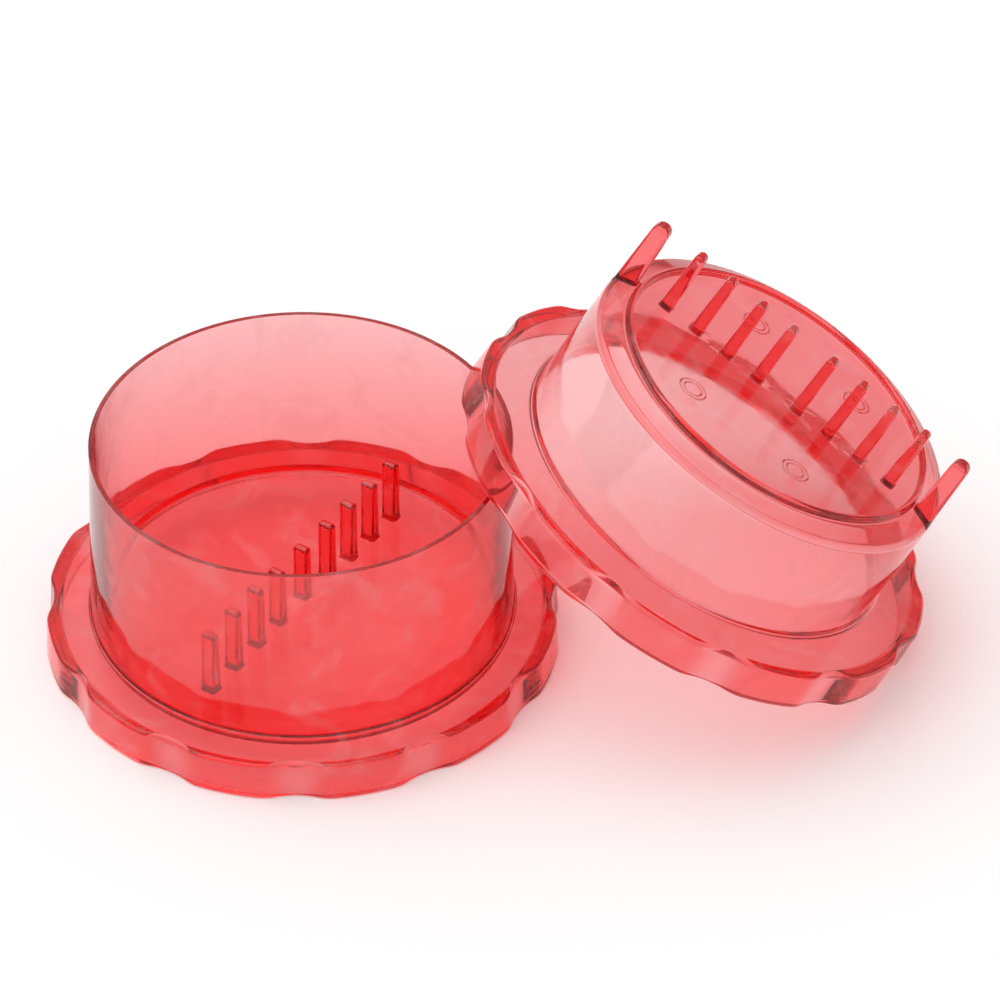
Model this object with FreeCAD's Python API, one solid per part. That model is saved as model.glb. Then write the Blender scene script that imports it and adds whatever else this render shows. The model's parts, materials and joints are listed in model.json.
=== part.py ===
import FreeCAD, Part
import math
import os

# A hand-twisted nut grinder of clear plastic, in two halves.  The base half is a round cup on a
# scalloped flange, with one row of teeth across its floor.  The top half is a hollow drum on the
# same flange, with a second row of teeth on its end.  Turned over and set in the cup, the drum's
# teeth pass between the cup's teeth when the halves are twisted against each other.
# The top half is modelled as it stands beside the cup: teeth up, one edge of its flange on the
# table and the other on the cup's rim.
#
# Frame: the origin is on the cup's axis at the table, +Z is up and the top half lies towards +X.
# Millimetres and degrees.

# Cup
CUP_FOOT_RADIUS = 44.0
CUP_TAPER = 1.0           # the rim's radius is this much less than the foot's
CUP_FOOT_WALL = 2.2
CUP_RIM_WALL = 1.0
CUP_HEIGHT = 41.6         # from the deck to the rim
FLOOR_THICKNESS = 2.1
FLOOR_DROP = 1.0          # the floor's top is this much below the deck

# Scalloped flange, the same on both halves
DECK_BORDER = 9.7         # the deck's width round the cup, to the lobes
FLANGE_DRAFT = 0.4        # the flange's radius at the deck is this much less than at its open edge
LOBES = 12
FLUTE_DEPTH = 1.45        # hollow between two lobes
FLUTE_RADIUS = 16.0
LOBE_ROUND = 8.0          # rounding from a lobe into a flute
SKIRT_HEIGHT = 6.9
SKIRT_WALL = 2.7          # from the round inside out to the lobes
DECK_THICKNESS = 1.6
BASE_TURN = -3.55         # direction of the base flange's first flute

# Teeth: narrow pegs in a row, and a wider one at each end of the top half's row
TOOTH_HEIGHT = 14.7
TOOTH_DEPTH = 3.4         # across the row
TOOTH_ROOT = 2.8          # along the row
TOOTH_TIP = 2.3
BASE_TEETH = 9
MIDDLE_SPREAD = 1.2       # all teeth off the middle stand this much further out than the pitch
TIP_CLEARANCE = 0.3       # tooth tips to the opposite plate, when closed
LIP_CLEARANCE = 0.3       # the cup's outermost teeth inside the drum's lip, when closed
BASE_ROW_ANGLE = 53.57    # direction of the cup's row
TOP_ROW_ANGLE = -29.7     # direction of the drum's row, about the drum's own axis
END_TOOTH_ROOT = 4.6      # along the row
END_TOOTH_TAPER = 0.4     # each side of an end tooth leans in this much
END_TOOTH_INSET = 0.2     # the end teeth inside the drum's wall

# Drum
DRUM_CLEARANCE = 0.6      # round the drum, in the cup's rim
DRUM_DRAFT = 0.3
DRUM_WALL = 1.0
DRUM_FILLET = 1.5         # foot of the drum on its deck
SHOULDER_WIDTH = 5.4      # from the drum's edge in to the lip
SHOULDER_DROP = 1.8       # the shoulder falls this much from the toothed plate to the drum's edge
LIP_WALL = 1.2
LIP_HEIGHT = 1.2          # the lip above the toothed plate
PLATE_THICKNESS = 1.5

# How the top half leans
RIM_REACH = 3.8           # the rim crosses the skirt's round inside this far from its top
RIM_GAP = 0.35            # the top half's skirt over the cup's rim

DECK_TOP = SKIRT_HEIGHT + DECK_THICKNESS
RIM_TOP = DECK_TOP + CUP_HEIGHT
FLOOR_TOP = DECK_TOP - FLOOR_DROP
FLOOR_BOTTOM = FLOOR_TOP - FLOOR_THICKNESS
FLANGE_RADIUS = CUP_FOOT_RADIUS + DECK_BORDER
SKIRT_BORE = FLANGE_RADIUS - SKIRT_WALL
CUP_RIM_RADIUS = CUP_FOOT_RADIUS - CUP_TAPER
CUP_BORE = CUP_FOOT_RADIUS - CUP_FOOT_WALL
RIM_BORE = CUP_RIM_RADIUS - CUP_RIM_WALL

PLATE_TOP = DECK_TOP + CUP_HEIGHT + FLOOR_DROP - TOOTH_HEIGHT - TIP_CLEARANCE
PLATE_BOTTOM = PLATE_TOP - PLATE_THICKNESS
LIP_TOP = PLATE_TOP + LIP_HEIGHT
DRUM_EDGE = PLATE_TOP - SHOULDER_DROP
DRUM_FOOT_RADIUS = RIM_BORE - DRUM_CLEARANCE
DRUM_END_RADIUS = DRUM_FOOT_RADIUS - DRUM_DRAFT
DRUM_END_BORE = DRUM_END_RADIUS - DRUM_WALL
LIP_RADIUS = DRUM_END_RADIUS - SHOULDER_WIDTH
LIP_BORE = LIP_RADIUS - LIP_WALL

TOP_TEETH = BASE_TEETH - 1
OUTER_TOOTH = LIP_BORE - LIP_CLEARANCE - TOOTH_ROOT / 2
TOOTH_PITCH = (OUTER_TOOTH - MIDDLE_SPREAD) * 2 / (BASE_TEETH - 1)


def polar(radius, angle, z=0.0):
    """Point at a radius and an angle in radians."""
    return FreeCAD.Vector(radius * math.cos(angle), radius * math.sin(angle), z)


def arc(start, middle, end):
    return Part.Arc(start, middle, end).toShape()


def on_circle(centre, radius, towards):
    """Point on a circle, in the direction of another point."""
    direction = towards - centre
    return centre + direction * (radius / direction.Length)


def scalloped_outline(radius, z):
    """Closed wire of round lobes with a shallow flute between each two."""
    flute_distance = radius - FLUTE_DEPTH + FLUTE_RADIUS
    round_distance = radius - LOBE_ROUND
    reach = FLUTE_RADIUS + LOBE_ROUND
    cosine = round_distance ** 2 + flute_distance ** 2 - reach ** 2
    swing = math.acos(cosine / (2 * round_distance * flute_distance))
    pitch = 2 * math.pi / LOBES
    edges = []
    for index in range(LOBES):
        middle = index * pitch
        flute_centre = polar(flute_distance, middle, z)
        before = polar(round_distance, middle - swing, z)
        after = polar(round_distance, middle + swing, z)
        flute_start = on_circle(flute_centre, FLUTE_RADIUS, before)
        flute_middle = polar(radius - FLUTE_DEPTH, middle, z)
        flute_end = on_circle(flute_centre, FLUTE_RADIUS, after)
        lobe_before = polar(radius, middle - swing, z)
        lobe_after = polar(radius, middle + swing, z)
        lobe_middle = polar(radius, middle + pitch / 2, z)
        next_lobe = polar(radius, middle + pitch - swing, z)
        round_in = on_circle(before, LOBE_ROUND, (flute_start + lobe_before) * 0.5)
        round_out = on_circle(after, LOBE_ROUND, (flute_end + lobe_after) * 0.5)
        edges.append(arc(lobe_before, round_in, flute_start))
        edges.append(arc(flute_start, flute_middle, flute_end))
        edges.append(arc(flute_end, round_out, lobe_after))
        edges.append(arc(lobe_after, lobe_middle, next_lobe))
    return Part.Wire(edges)


def turned(points):
    """Ring swept round the axis from a closed outline of (radius, height) corners."""
    corners = [FreeCAD.Vector(radius, 0, height) for radius, height in points]
    face = Part.Face(Part.makePolygon(corners + corners[:1]))
    return face.revolve(FreeCAD.Vector(0, 0, 0), FreeCAD.Vector(0, 0, 1), 360)


def skirt():
    """Down-turned wall of a flange, scalloped outside and round inside."""
    foot = scalloped_outline(FLANGE_RADIUS, 0.0)
    head = scalloped_outline(FLANGE_RADIUS - FLANGE_DRAFT, SKIRT_HEIGHT)
    body = Part.makeLoft([foot, head], True, True)
    return body.cut(Part.makeCone(SKIRT_BORE, SKIRT_BORE - FLANGE_DRAFT, SKIRT_HEIGHT))


def deck(hole_radius):
    """Flat scalloped plate on the skirt, round what stands through it."""
    outline = scalloped_outline(FLANGE_RADIUS - FLANGE_DRAFT, SKIRT_HEIGHT)
    plate = Part.Face(outline).extrude(FreeCAD.Vector(0, 0, DECK_THICKNESS))
    start = FreeCAD.Vector(0, 0, SKIRT_HEIGHT)
    return plate.cut(Part.makeCylinder(hole_radius, DECK_THICKNESS, start))


def cup_wall():
    return turned([
        (CUP_BORE, FLOOR_BOTTOM),
        (CUP_FOOT_RADIUS, FLOOR_BOTTOM),
        (CUP_FOOT_RADIUS, DECK_TOP),
        (CUP_RIM_RADIUS, RIM_TOP),
        (RIM_BORE, RIM_TOP),
        (CUP_BORE, FLOOR_TOP),
    ])


def cup_floor():
    return Part.makeCylinder(CUP_BORE, FLOOR_THICKNESS, FreeCAD.Vector(0, 0, FLOOR_BOTTOM))


def drum_bore_at(height):
    """Inner radius of the drum's drafted wall at a height."""
    share = (height - SKIRT_HEIGHT) / (DRUM_EDGE - SKIRT_HEIGHT)
    return DRUM_FOOT_RADIUS - DRUM_WALL - DRUM_DRAFT * share


def drum_wall():
    """Hollow drum from its deck to its shoulder, with a filleted foot."""
    deck_bore = DRUM_FOOT_RADIUS - DRUM_WALL
    fillet_top = DECK_TOP + DRUM_FILLET
    fillet_rim = DRUM_FOOT_RADIUS + DRUM_FILLET
    bow = DRUM_FILLET * (1 - math.sqrt(0.5))
    foot = [
        FreeCAD.Vector(deck_bore, 0, SKIRT_HEIGHT),
        FreeCAD.Vector(DRUM_FOOT_RADIUS, 0, SKIRT_HEIGHT),
        FreeCAD.Vector(DRUM_FOOT_RADIUS, 0, DECK_TOP),
        FreeCAD.Vector(fillet_rim, 0, DECK_TOP),
    ]
    head = [
        FreeCAD.Vector(DRUM_FOOT_RADIUS, 0, fillet_top),
        FreeCAD.Vector(DRUM_END_RADIUS, 0, DRUM_EDGE),
        FreeCAD.Vector(DRUM_END_BORE, 0, DRUM_EDGE),
        foot[0],
    ]
    hollow = FreeCAD.Vector(DRUM_FOOT_RADIUS + bow, 0, DECK_TOP + bow)
    edges = Part.makePolygon(foot).Edges + [arc(foot[-1], hollow, head[0])]
    edges += Part.makePolygon(head).Edges
    face = Part.Face(Part.Wire(edges))
    return face.revolve(FreeCAD.Vector(0, 0, 0), FreeCAD.Vector(0, 0, 1), 360)


def drum_shoulder():
    """Sloping ring inside the drum's end, level under the lip, that carries the lip."""
    bottom_bore = drum_bore_at(DRUM_EDGE - PLATE_THICKNESS)
    return turned([
        (LIP_BORE, PLATE_BOTTOM),
        (LIP_RADIUS, PLATE_BOTTOM),
        (bottom_bore, DRUM_EDGE - PLATE_THICKNESS),
        (DRUM_END_BORE, DRUM_EDGE),
        (LIP_RADIUS, PLATE_TOP),
        (LIP_BORE, PLATE_TOP),
    ])


def lip_ring():
    """Low round lip that stands proud of the toothed plate."""
    return turned([
        (LIP_BORE, PLATE_TOP),
        (LIP_RADIUS, PLATE_TOP),
        (LIP_RADIUS, LIP_TOP),
        (LIP_BORE, LIP_TOP),
    ])


def tooth_plate():
    return Part.makeCylinder(LIP_BORE, PLATE_THICKNESS, FreeCAD.Vector(0, 0, PLATE_BOTTOM))


def tooth(root, tip, height):
    """Tapered peg with a fully rounded tip, its length along X and its foot at the origin."""
    shoulder = height - tip / 2
    side = -TOOTH_DEPTH / 2
    left_foot = FreeCAD.Vector(-root / 2, side, 0)
    right_foot = FreeCAD.Vector(root / 2, side, 0)
    right_tip = FreeCAD.Vector(tip / 2, side, shoulder)
    left_tip = FreeCAD.Vector(-tip / 2, side, shoulder)
    edges = [
        Part.makeLine(left_foot, right_foot),
        Part.makeLine(right_foot, right_tip),
        arc(right_tip, FreeCAD.Vector(0, side, height), left_tip),
        Part.makeLine(left_tip, left_foot),
    ]
    return Part.Face(Part.Wire(edges)).extrude(FreeCAD.Vector(0, TOOTH_DEPTH, 0))


def in_row(shape, distance, angle, height):
    """Copy of a tooth at a distance along a row that runs through the axis."""
    shape = shape.copy()
    shape.translate(FreeCAD.Vector(distance, 0, height))
    shape.rotate(FreeCAD.Vector(0, 0, 0), FreeCAD.Vector(0, 0, 1), angle)
    return shape


def tooth_row(count, angle, height):
    """Narrow teeth on both sides of the axis, and one on it where the count is odd."""
    peg = tooth(TOOTH_ROOT, TOOTH_TIP, TOOTH_HEIGHT)
    row = []
    for index in range(count):
        step = index - (count - 1) / 2
        side = (step > 0) - (step < 0)
        row.append(in_row(peg, step * TOOTH_PITCH + side * MIDDLE_SPREAD, angle, height))
    return row


def end_teeth():
    """The two wide teeth, rooted on the shoulder and the drum's edge."""
    height = PLATE_TOP + TOOTH_HEIGHT - DRUM_EDGE
    peg = tooth(END_TOOTH_ROOT, END_TOOTH_ROOT - 2 * END_TOOTH_TAPER, height)
    middle = DRUM_END_RADIUS - END_TOOTH_INSET - END_TOOTH_ROOT / 2
    row = [in_row(peg, place, TOP_ROW_ANGLE, DRUM_EDGE) for place in (-middle, middle)]
    parted = [wide.cut(drum_shoulder()).Solids for wide in row]
    return [max(solids, key=lambda solid: solid.Volume) for solids in parted]


def lean_placement():
    """Where the top half rests: its skirt on the table and just over the cup's rim.

    The skirt's open edge crosses the cup's rim at two mirrored places, where its inner side is the
    nearest.  That side is round, so the gap stays the same as the top half turns.
    """
    uphill = SKIRT_BORE - RIM_REACH
    lean = math.asin((RIM_TOP + RIM_GAP) / (FLANGE_RADIUS + uphill))
    across = math.sqrt(SKIRT_BORE ** 2 - uphill ** 2)
    along = math.sqrt(CUP_RIM_RADIUS ** 2 - across ** 2)
    middle = uphill * math.cos(lean) + along
    turn = FreeCAD.Rotation(FreeCAD.Vector(0, 1, 0), math.degrees(lean))
    return FreeCAD.Placement(FreeCAD.Vector(middle, 0, FLANGE_RADIUS * math.sin(lean)), turn)


def base_half():
    """Nodes of the base half, standing on the table."""
    nodes = {
        "base_skirt": skirt(),
        "base_deck": deck(CUP_FOOT_RADIUS),
        "cup_wall": cup_wall(),
        "cup_floor": cup_floor(),
    }
    for name in ("base_skirt", "base_deck"):
        nodes[name].rotate(FreeCAD.Vector(0, 0, 0), FreeCAD.Vector(0, 0, 1), BASE_TURN)
    for index, peg in enumerate(tooth_row(BASE_TEETH, BASE_ROW_ANGLE, FLOOR_TOP)):
        nodes["base_tooth_%d" % (index + 1)] = peg
    return nodes


def top_half():
    """Nodes of the top half, leaning on the cup."""
    nodes = {
        "top_skirt": skirt(),
        "top_deck": deck(DRUM_FOOT_RADIUS),
        "drum_wall": drum_wall(),
        "drum_shoulder": drum_shoulder(),
        "lip_ring": lip_ring(),
        "tooth_plate": tooth_plate(),
    }
    for index, peg in enumerate(tooth_row(TOP_TEETH, TOP_ROW_ANGLE, PLATE_TOP)):
        nodes["top_tooth_%d" % (index + 1)] = peg
    for index, peg in enumerate(end_teeth()):
        nodes["end_tooth_%d" % (index + 1)] = peg
    placement = lean_placement()
    for shape in nodes.values():
        shape.Placement = placement.multiply(shape.Placement)
    return nodes


os.makedirs("parts", exist_ok=True)
for half in (base_half(), top_half()):
    for node, solid in half.items():
        solid.exportStep("parts/%s.step" % node)
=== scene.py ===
import json
import math

import bmesh
import bpy
from mathutils import Matrix, Quaternion, Vector


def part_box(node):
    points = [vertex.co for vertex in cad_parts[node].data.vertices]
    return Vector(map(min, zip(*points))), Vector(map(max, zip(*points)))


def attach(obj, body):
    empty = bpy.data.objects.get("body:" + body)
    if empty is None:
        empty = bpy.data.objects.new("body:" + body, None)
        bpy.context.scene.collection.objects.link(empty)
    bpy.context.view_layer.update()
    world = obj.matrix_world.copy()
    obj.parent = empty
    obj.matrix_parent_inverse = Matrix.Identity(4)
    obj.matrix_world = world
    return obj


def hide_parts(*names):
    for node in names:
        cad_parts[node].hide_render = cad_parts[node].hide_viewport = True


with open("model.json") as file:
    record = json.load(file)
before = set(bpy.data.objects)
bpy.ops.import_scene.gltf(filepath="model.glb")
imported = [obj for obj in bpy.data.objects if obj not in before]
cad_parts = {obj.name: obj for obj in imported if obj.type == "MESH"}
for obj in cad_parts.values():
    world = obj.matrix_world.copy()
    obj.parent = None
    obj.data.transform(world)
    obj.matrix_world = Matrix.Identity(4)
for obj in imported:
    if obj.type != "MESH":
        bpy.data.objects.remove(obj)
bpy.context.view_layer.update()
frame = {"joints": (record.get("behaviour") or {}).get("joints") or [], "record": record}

# A hand-twisted nut grinder of clear red plastic, in two one-piece mouldings: a cup on a scalloped
# foot, and a toothed drum on the same scalloped flange, which leans on the cup's rim.
# Metres; the cup's axis is Z and the top half lies towards +X.  Each half is modelled upright on
# its own axis, as it would stand flange-down on a table, and the top half is then leant over.

MM = 0.001

# How finely round forms are divided
SIDES = 360
DISC_RINGS = 6
SMALL_STEPS = 4
MEDIUM_STEPS = 5
LARGE_STEPS = 6
ROUND_PROFILE = 0.5

# What counts as level, as the same place, and as a crisp edge
LEVEL = 0.9
SAME_PLACE = 0.05 * MM
SAME_POINT = 0.002 * MM
CRISP_ANGLE = math.radians(35)
FLAT_WEIGHT = 100

# Scalloped flange of both halves
FLANGE_RADIUS = 53.7 * MM
FLANGE_DRAFT = 0.4 * MM
SKIRT_BORE = 51.0 * MM
SKIRT_HEIGHT = 6.9 * MM
DECK_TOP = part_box("base_deck")[1].z
LOBES = 12
FLUTE_DEPTH = 1.45 * MM
FLUTE_RADIUS = 16.0 * MM
LOBE_ROUND = 8.0 * MM
BASE_TURN = math.radians(-3.55)
SKIRT_EDGE_ROUND = 0.5 * MM
BORE_EDGE_ROUND = 0.4 * MM
SKIRT_ROOT_FILLET = 0.8 * MM
DECK_EDGE_ROUND = 0.9 * MM

# Cup
RIM_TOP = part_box("cup_wall")[1].z
FLOOR_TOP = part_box("cup_floor")[1].z
FLOOR_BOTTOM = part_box("cup_floor")[0].z
CUP_FOOT_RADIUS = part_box("cup_wall")[1].x
CUP_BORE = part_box("cup_floor")[1].x
CUP_RIM_RADIUS = 43.0 * MM
CUP_RIM_WALL = 1.0 * MM
CUP_FOOT_FILLET = 0.6 * MM
RIM_ROUND = 0.2 * MM
FLOOR_FILLET = 1.0 * MM
UNDERSIDE_FILLET = 0.5 * MM
UNDERSIDE_ROUND = 0.6 * MM

# Drum, with its sloping shoulder, low lip and toothed plate
DRUM_FOOT_RADIUS = 41.4 * MM
DRUM_END_RADIUS = 41.1 * MM
DRUM_WALL = 1.0 * MM
DRUM_EDGE = 34.3 * MM
LIP_RADIUS = 35.7 * MM
LIP_BORE = 34.5 * MM
LIP_TOP = 37.3 * MM
PLATE_TOP = 36.1 * MM
PLATE_THICKNESS = 1.5 * MM
DRUM_FOOT_FILLET = 1.5 * MM
DRUM_EDGE_ROUND = 1.0 * MM
DRUM_BORE_ROUND = 0.6 * MM
DRUM_INNER_FILLET = 0.8 * MM
LIP_FOOT_FILLET = 0.4 * MM
LIP_ROUND = 0.57 * MM
SHOULDER_SLOPE = (PLATE_TOP - DRUM_EDGE) / (DRUM_END_RADIUS - LIP_RADIUS)

# Teeth
TOOTH_HEIGHT = 14.7 * MM
TOOTH_DEPTH = 3.4 * MM
TOOTH_ROOT = 2.8 * MM
TOOTH_TIP = 2.3 * MM
TOOTH_PITCH = 7.9 * MM
MIDDLE_SPREAD = 1.2 * MM
BASE_TEETH = 9
TOP_TEETH = 8
BASE_ROW_ANGLE = math.radians(53.57)
TOP_ROW_ANGLE = math.radians(-29.7)
END_TOOTH_INNER = 36.3 * MM
END_TOOTH_OUTER = 40.9 * MM
END_TOOTH_TIP = 3.8 * MM
END_TOOTH_EDGE = 40.95 * MM
ROOT_FILLET = 0.5 * MM
ROOT_START = math.radians(20)
ROOT_STEPS = 4
PAD_DEPTH = 0.6 * MM
END_PAD_DEPTH = 1.0 * MM
PAD_SINK = 0.05 * MM
TOOTH_CORNER = 0.9 * MM
TIP_ROUND = 0.8 * MM
DOME_STEPS = 6
DOME_SWEEP = math.radians(86)

# Marks of the ejector pins, inside the drum under the toothed plate
PIN_RADIUS = 3.0 * MM
PIN_CORE = 2.0 * MM
PIN_GROOVE = 0.2 * MM
PIN_DISTANCE = 22.9 * MM
PIN_SWING = math.radians(35)
PIN_SIDES = 64
GROOVE_SIDES = 8


# ---------------------------------------------------------------- modelling tools

def primitive(add, name, **settings):
    """Adds one primitive with nothing else selected, and gives it its name."""
    bpy.ops.object.select_all(action="DESELECT")
    add(**settings)
    piece = bpy.context.object
    bpy.ops.object.transform_apply(location=True, rotation=True, scale=True)
    piece.name = name
    piece.data.name = name
    return piece


def start_edit(piece, kind):
    """Edit mode on one piece, with nothing of it selected."""
    bpy.ops.object.select_all(action="DESELECT")
    piece.select_set(True)
    bpy.context.view_layer.objects.active = piece
    bpy.ops.object.mode_set(mode="EDIT")
    bpy.ops.mesh.select_mode(type=kind)
    bpy.ops.mesh.select_all(action="DESELECT")


def end_edit():
    bpy.ops.object.mode_set(mode="OBJECT")


def pick_faces(piece, wanted):
    """Selects the faces whose centre and normal pass a test."""
    bpy.ops.mesh.select_mode(type="FACE")
    bpy.ops.mesh.select_all(action="DESELECT")
    mesh = bmesh.from_edit_mesh(piece.data)
    for face in mesh.faces:
        if wanted(face.calc_center_median(), face.normal):
            face.select_set(True)
    mesh.select_flush_mode()
    bmesh.update_edit_mesh(piece.data)


def pick_top(piece):
    """Selects the level faces that look up."""
    pick_faces(piece, lambda centre, normal: normal.z > LEVEL)


def pick_underside(piece):
    """Selects the level faces that look down."""
    pick_faces(piece, lambda centre, normal: normal.z < -LEVEL)


def pick_edges(piece, wanted):
    """Selects the edges whose two ends pass a test."""
    bpy.ops.mesh.select_mode(type="EDGE")
    bpy.ops.mesh.select_all(action="DESELECT")
    mesh = bmesh.from_edit_mesh(piece.data)
    for edge in mesh.edges:
        if wanted(edge.verts[0].co, edge.verts[1].co):
            edge.select_set(True)
    mesh.select_flush_mode()
    bmesh.update_edit_mesh(piece.data)


def step_in(width):
    """Insets the chosen flat face by a width."""
    bpy.ops.mesh.inset(thickness=width)


def draw_out(height, scale=1.0):
    """Extrudes the chosen flat face along the axis, and narrows or widens it."""
    bpy.ops.mesh.extrude_region_move(TRANSFORM_OT_translate={"value": (0, 0, height)})
    bpy.ops.transform.resize(value=(scale, scale, 1), center_override=(0, 0, 0))


def divide_disc(radius):
    """Divides the chosen round face into rings and a fan, for what will be joined to it."""
    for ring in range(DISC_RINGS - 1):
        step_in(radius / DISC_RINGS)
    bpy.ops.mesh.poke()


def round_loop(piece, radius, height, width, segments=SMALL_STEPS):
    """Rounds the circular edge at a radius and height, outer corners and inner ones alike."""

    def on_loop(first, second):
        return all(abs(end.z - height) < SAME_PLACE and abs(end.xy.length - radius) < SAME_PLACE
                   for end in (first, second))

    pick_edges(piece, on_loop)
    bpy.ops.mesh.bevel(offset=width, offset_type="OFFSET", segments=segments,
                       profile=ROUND_PROFILE, affect="EDGES", clamp_overlap=True)


def apply_modifier(piece, kind, **settings):
    """Adds a modifier and applies it."""
    bpy.ops.object.select_all(action="DESELECT")
    piece.select_set(True)
    bpy.context.view_layer.objects.active = piece
    modifier = piece.modifiers.new(kind.title(), kind)
    for setting, value in settings.items():
        setattr(modifier, setting, value)
    bpy.ops.object.modifier_apply(modifier=modifier.name)


def joined(pieces, name):
    """One object made of several."""
    bpy.ops.object.select_all(action="DESELECT")
    for piece in pieces:
        piece.select_set(True)
    bpy.context.view_layer.objects.active = pieces[0]
    bpy.ops.object.join()
    pieces[0].name = name
    return pieces[0]


def copied(piece, place):
    """Copy of a piece at a new place, with its own mesh."""
    twin = piece.copy()
    twin.data = piece.data.copy()
    twin.data.transform(place)
    bpy.context.scene.collection.objects.link(twin)
    return twin


def combine(piece, tools, operation):
    """Adds or cuts a list of closed forms, which are used up."""
    tool = joined(tools, "tool")
    apply_modifier(piece, "BOOLEAN", object=tool, operation=operation, solver="MANIFOLD")
    bpy.data.objects.remove(tool)


# ---------------------------------------------------------------- the scalloped flange

def outline_radius(angle):
    """Radius of the flange's edge in a direction; a flute's middle lies at angle 0."""
    pitch = math.tau / LOBES
    angle = abs((angle + pitch / 2) % pitch - pitch / 2)
    flute_distance = FLANGE_RADIUS - FLUTE_DEPTH + FLUTE_RADIUS
    round_distance = FLANGE_RADIUS - LOBE_ROUND
    reach = FLUTE_RADIUS + LOBE_ROUND
    cosine = round_distance ** 2 + flute_distance ** 2 - reach ** 2
    swing = math.acos(cosine / (2 * round_distance * flute_distance))
    if angle >= swing:
        return FLANGE_RADIUS
    share = FLUTE_RADIUS / reach
    touch_x = flute_distance + (round_distance * math.cos(swing) - flute_distance) * share
    touch_y = round_distance * math.sin(swing) * share
    if angle > math.atan2(touch_y, touch_x):
        offset = round_distance * math.sin(angle - swing)
        return round_distance * math.cos(angle - swing) + math.sqrt(LOBE_ROUND ** 2 - offset ** 2)
    offset = flute_distance * math.sin(angle)
    return flute_distance * math.cos(angle) - math.sqrt(FLUTE_RADIUS ** 2 - offset ** 2)


def scallop(piece, turn):
    """Draws the flange's outer wall in to its twelve flutes."""
    wall_middle = (FLANGE_RADIUS + SKIRT_BORE) / 2
    for vertex in piece.data.vertices:
        radius = vertex.co.xy.length
        if radius > wall_middle and vertex.co.z < DECK_TOP + MM:
            angle = math.atan2(vertex.co.y, vertex.co.x) - turn
            vertex.co.xy *= 1 - (FLANGE_RADIUS - outline_radius(angle)) / radius


def flange_blank(name):
    """Round disc as tall as the flange, its underside hollowed up to the deck."""
    disc = primitive(bpy.ops.mesh.primitive_cylinder_add, name, vertices=SIDES,
                     radius=FLANGE_RADIUS, depth=DECK_TOP, location=(0, 0, DECK_TOP / 2),
                     end_fill_type="NGON")
    start_edit(disc, "FACE")
    pick_top(disc)
    draft = (FLANGE_RADIUS - FLANGE_DRAFT) / FLANGE_RADIUS
    bpy.ops.transform.resize(value=(draft, draft, 1), center_override=(0, 0, 0))
    pick_underside(disc)
    step_in(FLANGE_RADIUS - SKIRT_BORE)
    draw_out(SKIRT_HEIGHT, (SKIRT_BORE - FLANGE_DRAFT) / SKIRT_BORE)
    return disc


def round_flange(piece):
    """Softened edges of the skirt and the deck."""
    round_loop(piece, FLANGE_RADIUS, 0.0, SKIRT_EDGE_ROUND)
    round_loop(piece, SKIRT_BORE, 0.0, BORE_EDGE_ROUND)
    round_loop(piece, SKIRT_BORE - FLANGE_DRAFT, SKIRT_HEIGHT, SKIRT_ROOT_FILLET)
    round_loop(piece, FLANGE_RADIUS - FLANGE_DRAFT, DECK_TOP, DECK_EDGE_ROUND, MEDIUM_STEPS)


# ---------------------------------------------------------------- teeth

def tooth(name, root, tip, height, pad_depth=PAD_DEPTH):
    """Peg on the origin, its width along X: sunk pad, filleted root, tapered sides, domed tip."""
    dome = tip / 2
    shoulder = height - dome
    rings = []
    for step in range(ROOT_STEPS + 1):
        swing = ROOT_START + (math.pi / 2 - ROOT_START) * step / ROOT_STEPS
        flare = ROOT_FILLET * (1 - math.sin(swing))
        rise = ROOT_FILLET * (math.cos(ROOT_START) - math.cos(swing)) - PAD_SINK
        rings.append((root + 2 * flare, TOOTH_DEPTH + 2 * flare, rise))
    rings.append((tip, TOOTH_DEPTH, shoulder))
    for step in range(1, DOME_STEPS + 1):
        swing = DOME_SWEEP * step / DOME_STEPS
        drawn_in = 1 - math.cos(swing)
        rings.append((tip - 2 * dome * drawn_in, TOOTH_DEPTH - 2 * TIP_ROUND * drawn_in,
                      shoulder + dome * math.sin(swing)))
    width, depth, level = rings[0]
    peg = primitive(bpy.ops.mesh.primitive_cube_add, name, size=1, scale=(width, depth, pad_depth),
                    location=(0, 0, level - pad_depth / 2))
    start_edit(peg, "EDGE")
    pick_edges(peg, lambda a, b: abs(a.z - b.z) > pad_depth / 2)
    bpy.ops.mesh.bevel(offset=TOOTH_CORNER, segments=SMALL_STEPS, profile=ROUND_PROFILE,
                       affect="EDGES")
    pick_top(peg)
    for next_width, next_depth, next_level in rings[1:]:
        bpy.ops.mesh.extrude_region_move(TRANSFORM_OT_translate={"value": (0, 0, next_level - level)})
        bpy.ops.transform.resize(value=(next_width / width, next_depth / depth, 1),
                                 center_override=(0, 0, 0))
        width, depth, level = next_width, next_depth, next_level
    end_edit()
    return peg


def tooth_places(count, angle, height):
    """Places of a row through the axis; all but a middle tooth stand a little further out."""
    turn = Matrix.Rotation(angle, 4, "Z")
    places = []
    for index in range(count):
        step = index - (count - 1) / 2
        side = (step > 0) - (step < 0)
        distance = step * TOOTH_PITCH + side * MIDDLE_SPREAD
        places.append(turn @ Matrix.Translation((distance, 0, height)))
    return places


def seat_on_shoulder(peg, middle):
    """Slopes an end tooth's foot with the drum's shoulder, and keeps it within the drum's edge."""
    for vertex in peg.data.vertices:
        if vertex.co.z < MM:
            vertex.co.x = min(vertex.co.x, END_TOOTH_EDGE - middle)
            vertex.co.z -= SHOULDER_SLOPE * vertex.co.x


# ---------------------------------------------------------------- the two halves

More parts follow.
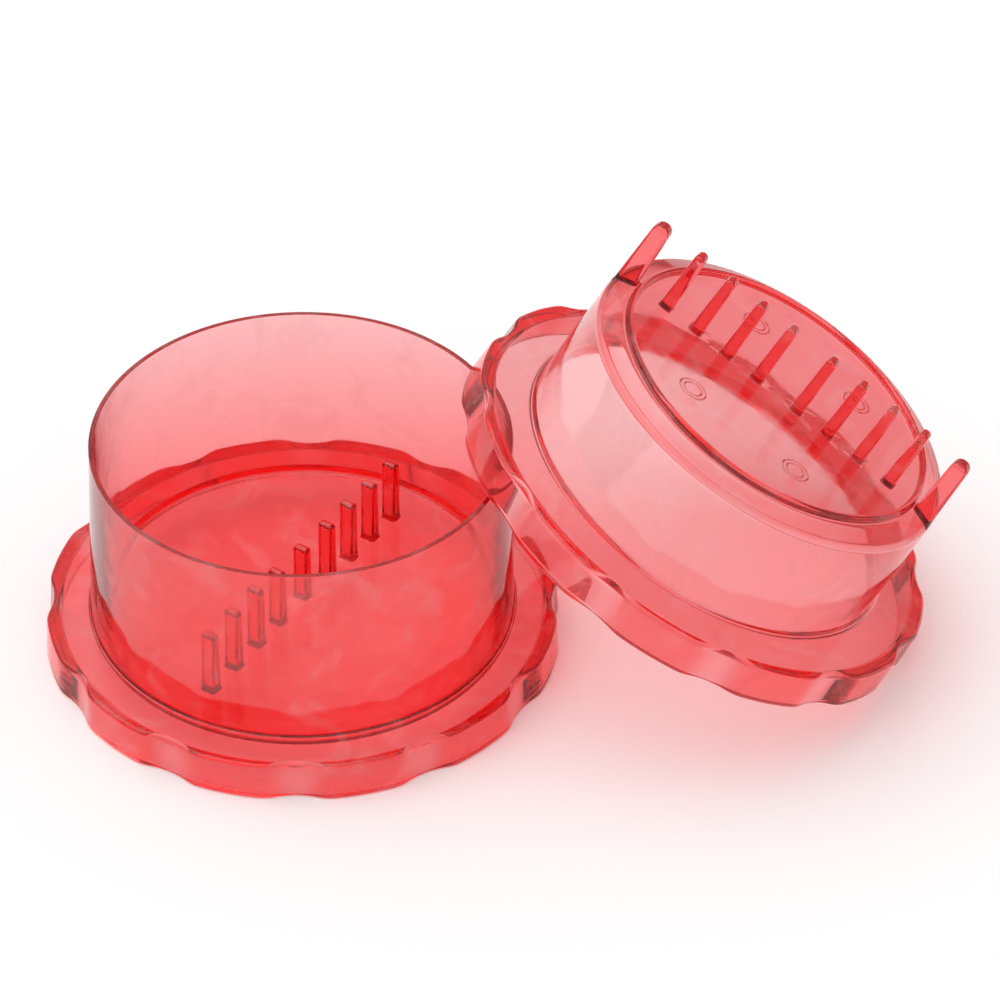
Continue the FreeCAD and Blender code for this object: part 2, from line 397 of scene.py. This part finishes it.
def finish_moulding(piece):
    """Merged, outward-facing and smooth where the moulding is round, crisp on its flats."""
    start_edit(piece, "VERT")
    bpy.ops.mesh.select_all(action="SELECT")
    bpy.ops.mesh.remove_doubles(threshold=SAME_POINT)
    bpy.ops.mesh.normals_make_consistent(inside=False)
    end_edit()
    bpy.ops.object.shade_smooth_by_angle(angle=CRISP_ANGLE)
    apply_modifier(piece, "WEIGHTED_NORMAL", keep_sharp=True, weight=FLAT_WEIGHT)


def base_half():
    """Cup on its scalloped foot, with a row of nine teeth across the floor."""
    cup = flange_blank("base_moulding")
    step_in(SKIRT_BORE - FLANGE_DRAFT - CUP_FOOT_RADIUS)
    draw_out(FLOOR_BOTTOM - SKIRT_HEIGHT)
    pick_top(cup)
    step_in(FLANGE_RADIUS - FLANGE_DRAFT - CUP_FOOT_RADIUS)
    draw_out(RIM_TOP - DECK_TOP, CUP_RIM_RADIUS / CUP_FOOT_RADIUS)
    step_in(CUP_RIM_WALL)
    draw_out(FLOOR_TOP - RIM_TOP, CUP_BORE / (CUP_RIM_RADIUS - CUP_RIM_WALL))
    divide_disc(CUP_BORE)
    round_flange(cup)
    round_loop(cup, CUP_FOOT_RADIUS, SKIRT_HEIGHT, UNDERSIDE_FILLET)
    round_loop(cup, CUP_FOOT_RADIUS, FLOOR_BOTTOM, UNDERSIDE_ROUND)
    round_loop(cup, CUP_FOOT_RADIUS, DECK_TOP, CUP_FOOT_FILLET)
    round_loop(cup, CUP_RIM_RADIUS, RIM_TOP, RIM_ROUND)
    round_loop(cup, CUP_RIM_RADIUS - CUP_RIM_WALL, RIM_TOP, RIM_ROUND)
    round_loop(cup, CUP_BORE, FLOOR_TOP, FLOOR_FILLET, MEDIUM_STEPS)
    end_edit()
    scallop(cup, BASE_TURN)
    peg = tooth("peg", TOOTH_ROOT, TOOTH_TIP, TOOTH_HEIGHT)
    pegs = [copied(peg, place) for place in tooth_places(BASE_TEETH, BASE_ROW_ANGLE, FLOOR_TOP)]
    bpy.data.objects.remove(peg)
    combine(cup, pegs, "UNION")
    finish_moulding(cup)
    return cup


def pin_marks(angle):
    """Two fine round grooves, which a sleeved ejector pin leaves in the plate's underside."""
    place = Vector((PIN_DISTANCE * math.cos(angle), PIN_DISTANCE * math.sin(angle),
                    PLATE_TOP - PLATE_THICKNESS))
    return [primitive(bpy.ops.mesh.primitive_torus_add, "groove", major_radius=radius,
                      minor_radius=PIN_GROOVE, major_segments=PIN_SIDES, minor_segments=GROOVE_SIDES,
                      location=place)
            for radius in (PIN_RADIUS, PIN_CORE)]


def top_half():
    """Hollow drum on its flange, with its lip, toothed plate and two wide end teeth."""
    drum = flange_blank("top_moulding")
    deck_bore = DRUM_FOOT_RADIUS - DRUM_WALL
    end_bore = DRUM_END_RADIUS - DRUM_WALL
    plate_bottom = PLATE_TOP - PLATE_THICKNESS
    edge_bottom = DRUM_EDGE - PLATE_THICKNESS
    step_in(SKIRT_BORE - FLANGE_DRAFT - deck_bore)
    draw_out(edge_bottom - SKIRT_HEIGHT, end_bore / deck_bore)
    draw_out(plate_bottom - edge_bottom, LIP_RADIUS / end_bore)
    divide_disc(LIP_RADIUS)
    pick_top(drum)
    step_in(FLANGE_RADIUS - FLANGE_DRAFT - DRUM_FOOT_RADIUS)
    draw_out(DRUM_EDGE - DECK_TOP, DRUM_END_RADIUS / DRUM_FOOT_RADIUS)
    draw_out(PLATE_TOP - DRUM_EDGE, LIP_RADIUS / DRUM_END_RADIUS)
    draw_out(LIP_TOP - PLATE_TOP)
    step_in(LIP_RADIUS - LIP_BORE)
    draw_out(PLATE_TOP - LIP_TOP)
    divide_disc(LIP_BORE)
    round_flange(drum)
    round_loop(drum, deck_bore, SKIRT_HEIGHT, DRUM_BORE_ROUND)
    round_loop(drum, end_bore, edge_bottom, DRUM_INNER_FILLET)
    round_loop(drum, LIP_RADIUS, plate_bottom, DRUM_INNER_FILLET)
    round_loop(drum, DRUM_FOOT_RADIUS, DECK_TOP, DRUM_FOOT_FILLET, LARGE_STEPS)
    round_loop(drum, DRUM_END_RADIUS, DRUM_EDGE, DRUM_EDGE_ROUND, LARGE_STEPS)
    round_loop(drum, LIP_RADIUS, PLATE_TOP, LIP_FOOT_FILLET)
    round_loop(drum, LIP_RADIUS, LIP_TOP, LIP_ROUND, LARGE_STEPS)
    round_loop(drum, LIP_BORE, LIP_TOP, LIP_ROUND, LARGE_STEPS)
    round_loop(drum, LIP_BORE, PLATE_TOP, LIP_FOOT_FILLET)
    end_edit()
    scallop(drum, 0.0)
    peg = tooth("peg", TOOTH_ROOT, TOOTH_TIP, TOOTH_HEIGHT)
    pegs = [copied(peg, place) for place in tooth_places(TOP_TEETH, TOP_ROW_ANGLE, PLATE_TOP)]
    bpy.data.objects.remove(peg)
    middle = (END_TOOTH_OUTER + END_TOOTH_INNER) / 2
    foot = DRUM_EDGE + SHOULDER_SLOPE * (DRUM_END_RADIUS - middle)
    wide = tooth("wide", END_TOOTH_OUTER - END_TOOTH_INNER, END_TOOTH_TIP,
                 PLATE_TOP + TOOTH_HEIGHT - foot, END_PAD_DEPTH)
    seat_on_shoulder(wide, middle)
    for angle in (TOP_ROW_ANGLE, TOP_ROW_ANGLE + math.pi):
        turn = Matrix.Rotation(angle, 4, "Z")
        pegs.append(copied(wide, turn @ Matrix.Translation((middle, 0, foot))))
    bpy.data.objects.remove(wide)
    combine(drum, pegs, "UNION")
    across = TOP_ROW_ANGLE + math.pi / 2
    grooves = [groove for side in (across, across + math.pi) for swing in (-PIN_SWING, PIN_SWING)
               for groove in pin_marks(side + swing)]
    combine(drum, grooves, "DIFFERENCE")
    finish_moulding(drum)
    return drum


def lean(piece):
    """Leans the top half over about its own axis's foot, as the joint gives it."""
    joint = frame["joints"][0]
    axis = Vector(joint["axis"])
    turn = math.atan2(axis.x, axis.z)
    piece.data.transform(Matrix.Translation(joint["pos_m"]) @ Matrix.Rotation(turn, 4, "Y"))


# ---------------------------------------------------------------- materials

def linear(hex_colour):
    """Linear RGBA of an sRGB hex colour."""
    channels = [int(hex_colour[start:start + 2], 16) / 255 for start in (1, 3, 5)]
    return [c / 12.92 if c <= 0.04045 else ((c + 0.055) / 1.055) ** 2.4 for c in channels] + [1.0]


def new_material(name):
    """Empty node tree with an output."""
    material = bpy.data.materials.new(name)
    material.use_nodes = True
    tree = material.node_tree
    tree.nodes.clear()
    return material, tree, tree.nodes.new("ShaderNodeOutputMaterial")


def node(tree, kind, links=None, **settings):
    """Adds a node; settings name its properties or input values, links its inputs' sources."""
    made = tree.nodes.new(kind)
    for name, value in settings.items():
        if hasattr(made, name):
            setattr(made, name, value)
        else:
            made.inputs[name.replace("_", " ")].default_value = value
    for name, source in (links or {}).items():
        tree.links.new(source, made.inputs[name])
    return made


PLASTIC_IOR = 1.57
DYE_PER_METRE = 520.0
SMEAR_SIZE = 14 * MM
SMEAR_DETAIL = 3.0
SMEAR_ROUGHNESS = 0.6
SMEAR_SWIRL = 1.2
SMEAR_STARTS = 0.5
SMEAR_FULL = 0.7
CLEAN_CLARITY = 0.998
SMEARED_CLARITY = 0.93
STREAK_SIZE = 3 * MM
STREAK_DETAIL = 2.0
STREAK_STARTS = 0.35
STREAK_FULL = 0.75
POLISHED = 0.02
DULLED = 0.09
SWELL_SIZE = 9 * MM
SWELL_DETAIL = 1.0
SWELL_DEPTH = 0.3 * MM
SWELL_SHARE = 0.15


def clear_red_styrene():
    """Styrene acrylonitrile, injection-moulded in a polished steel mould: glass-clear and glossy, with
    a faint swell where the melt flowed, a thin film from use, and red only as deep as the light's
    way through it, so edges and lips run dark."""
    material, tree, output = new_material("clear_red_styrene")
    place = node(tree, "ShaderNodeTexCoord").outputs["Object"]
    smears = node(tree, "ShaderNodeTexNoise", {"Vector": place}, Scale=1 / SMEAR_SIZE,
                  Detail=SMEAR_DETAIL, Roughness=SMEAR_ROUGHNESS, Distortion=SMEAR_SWIRL)
    streaks = node(tree, "ShaderNodeTexNoise", {"Vector": place}, Scale=1 / STREAK_SIZE,
                   Detail=STREAK_DETAIL)
    swell = node(tree, "ShaderNodeTexNoise", {"Vector": place}, Scale=1 / SWELL_SIZE,
                 Detail=SWELL_DETAIL)
    # A wiped film: most of the surface is clean, and only the strongest smears show
    film = node(tree, "ShaderNodeMapRange", {"Value": smears.outputs["Fac"]},
                interpolation_type="SMOOTHSTEP", From_Min=SMEAR_STARTS, From_Max=SMEAR_FULL,
                To_Min=CLEAN_CLARITY, To_Max=SMEARED_CLARITY)
    gloss = node(tree, "ShaderNodeMapRange", {"Value": streaks.outputs["Fac"]},
                 From_Min=STREAK_STARTS, From_Max=STREAK_FULL, To_Min=POLISHED, To_Max=DULLED)
    bump = node(tree, "ShaderNodeBump", {"Height": swell.outputs["Fac"]},
                Strength=SWELL_SHARE, Distance=SWELL_DEPTH)
    plastic = node(tree, "ShaderNodeBsdfPrincipled",
                   {"Transmission Weight": film.outputs["Result"], "Roughness": gloss.outputs["Result"],
                    "Normal": bump.outputs["Normal"]}, IOR=PLASTIC_IOR)
    plastic.inputs["Base Color"].default_value = linear("#ffffff")
    dye = node(tree, "ShaderNodeVolumeAbsorption", Density=DYE_PER_METRE)
    dye.inputs["Color"].default_value = linear("#fc0030")
    tree.links.new(plastic.outputs[0], output.inputs["Surface"])
    tree.links.new(dye.outputs[0], output.inputs["Volume"])
    return material


FLOOR_GLOW = 0.05


def table_white():
    """Matt white paper sweep, which also shows white in gloss and through clear plastic."""
    material, tree, output = new_material("table_white")
    paper = node(tree, "ShaderNodeBsdfDiffuse")
    paper.inputs["Color"].default_value = linear("#fdfdfd")
    white = node(tree, "ShaderNodeEmission", Strength=1.0)
    ray = node(tree, "ShaderNodeLightPath")
    seen = node(tree, "ShaderNodeMath", operation="MAXIMUM")
    clear = node(tree, "ShaderNodeMath", operation="MAXIMUM")
    tree.links.new(ray.outputs["Is Camera Ray"], seen.inputs[0])
    tree.links.new(ray.outputs["Is Glossy Ray"], seen.inputs[1])
    tree.links.new(seen.outputs[0], clear.inputs[0])
    tree.links.new(ray.outputs["Is Transmission Ray"], clear.inputs[1])
    share = node(tree, "ShaderNodeMath", operation="MULTIPLY")
    tree.links.new(clear.outputs[0], share.inputs[0])
    share.inputs[1].default_value = FLOOR_GLOW
    mix = node(tree, "ShaderNodeMixShader", {"Fac": share.outputs[0]})
    tree.links.new(paper.outputs[0], mix.inputs[1])
    tree.links.new(white.outputs[0], mix.inputs[2])
    tree.links.new(mix.outputs[0], output.inputs["Surface"])
    return material


# ---------------------------------------------------------------- stage, light and camera

FLOOR_GAP = 0.1 * MM
FLOOR_SIZE = 6.0


def add_stage():
    """White table; the skirt touches it at a few high spots only, so light gets in under its edge."""
    floor = primitive(bpy.ops.mesh.primitive_plane_add, "floor", size=FLOOR_SIZE,
                      location=(0, 0, -FLOOR_GAP))
    floor.data.materials.append(table_white())


KEY_TOWARDS = Vector((-0.35, 0.15, 0.92)).normalized()
KEY_EDGE = 0.70
ROOM = 0.8
KEY = 2.1
HORIZON = 0.22
ROOM_TOP = 0.6


def add_world():
    """Soft white room, dimmer towards the walls' foot, with one large soft light high on the left."""
    world = bpy.data.worlds.new("studio")
    bpy.context.scene.world = world
    world.use_nodes = True
    tree = world.node_tree
    tree.nodes.clear()
    direction = node(tree, "ShaderNodeTexCoord")
    near = node(tree, "ShaderNodeVectorMath", {"Vector": direction.outputs["Generated"]},
                operation="DOT_PRODUCT")
    near.inputs[1].default_value = KEY_TOWARDS
    strength = node(tree, "ShaderNodeMapRange", {"Value": near.outputs["Value"]},
                    interpolation_type="SMOOTHSTEP",
                    From_Min=KEY_EDGE, From_Max=1.0, To_Min=ROOM, To_Max=KEY)
    height = node(tree, "ShaderNodeSeparateXYZ", {"Vector": direction.outputs["Generated"]})
    level = node(tree, "ShaderNodeMapRange", {"Value": height.outputs["Z"]},
                 From_Min=0.0, From_Max=ROOM_TOP, To_Min=HORIZON, To_Max=1.0)
    light = node(tree, "ShaderNodeMath", operation="MULTIPLY")
    tree.links.new(strength.outputs["Result"], light.inputs[0])
    tree.links.new(level.outputs["Result"], light.inputs[1])
    glow = node(tree, "ShaderNodeBackground", {"Strength": light.outputs[0]})
    glow.inputs["Color"].default_value = linear("#ffffff")
    output = tree.nodes.new("ShaderNodeOutputWorld")
    tree.links.new(glow.outputs[0], output.inputs["Surface"])


CAMERA_AIM = Vector((40.80, -2.53, 34.75)) * MM
CAMERA_DISTANCE = 1250 * MM
CAMERA_AZIMUTH = math.radians(-3.55)
CAMERA_ELEVATION = math.radians(39.476)
CAMERA_ROLL = math.radians(0.304)
CAMERA_LENS = 219.3
CAMERA_SENSOR = 36.0
CAMERA_REACH = 20.0


def add_camera():
    flat = math.cos(CAMERA_ELEVATION)
    away = Vector((math.sin(CAMERA_AZIMUTH) * flat, -math.cos(CAMERA_AZIMUTH) * flat,
                   math.sin(CAMERA_ELEVATION)))
    data = bpy.data.cameras.new("camera")
    data.lens = CAMERA_LENS
    data.sensor_width = CAMERA_SENSOR
    data.clip_end = CAMERA_REACH
    camera = bpy.data.objects.new("camera", data)
    bpy.context.scene.collection.objects.link(camera)
    camera.rotation_mode = "QUATERNION"
    camera.rotation_quaternion = away.to_track_quat("Z", "Y") @ Quaternion((0, 0, 1), CAMERA_ROLL)
    camera.location = CAMERA_AIM + away * CAMERA_DISTANCE
    bpy.context.scene.camera = camera


# ---------------------------------------------------------------- the model

LIGHT_PATHS = 128

plastic = clear_red_styrene()

for moulding, body in ((base_half(), "base_half"), (top_half(), "top_half")):
    if body == "top_half":
        lean(moulding)
    moulding.data.materials.clear()
    moulding.data.materials.append(plastic)
    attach(moulding, body)
    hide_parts(*frame["record"]["behaviour"]["bodies"][body])

add_stage()
add_world()
add_camera()
scene = bpy.context.scene
scene.view_settings.view_transform = "Standard"
# Light crosses and runs along many clear walls before it leaves them
scene.cycles.max_bounces = LIGHT_PATHS
scene.cycles.transmission_bounces = LIGHT_PATHS
scene.cycles.glossy_bounces = LIGHT_PATHS
scene.cycles.blur_glossy = 0.0
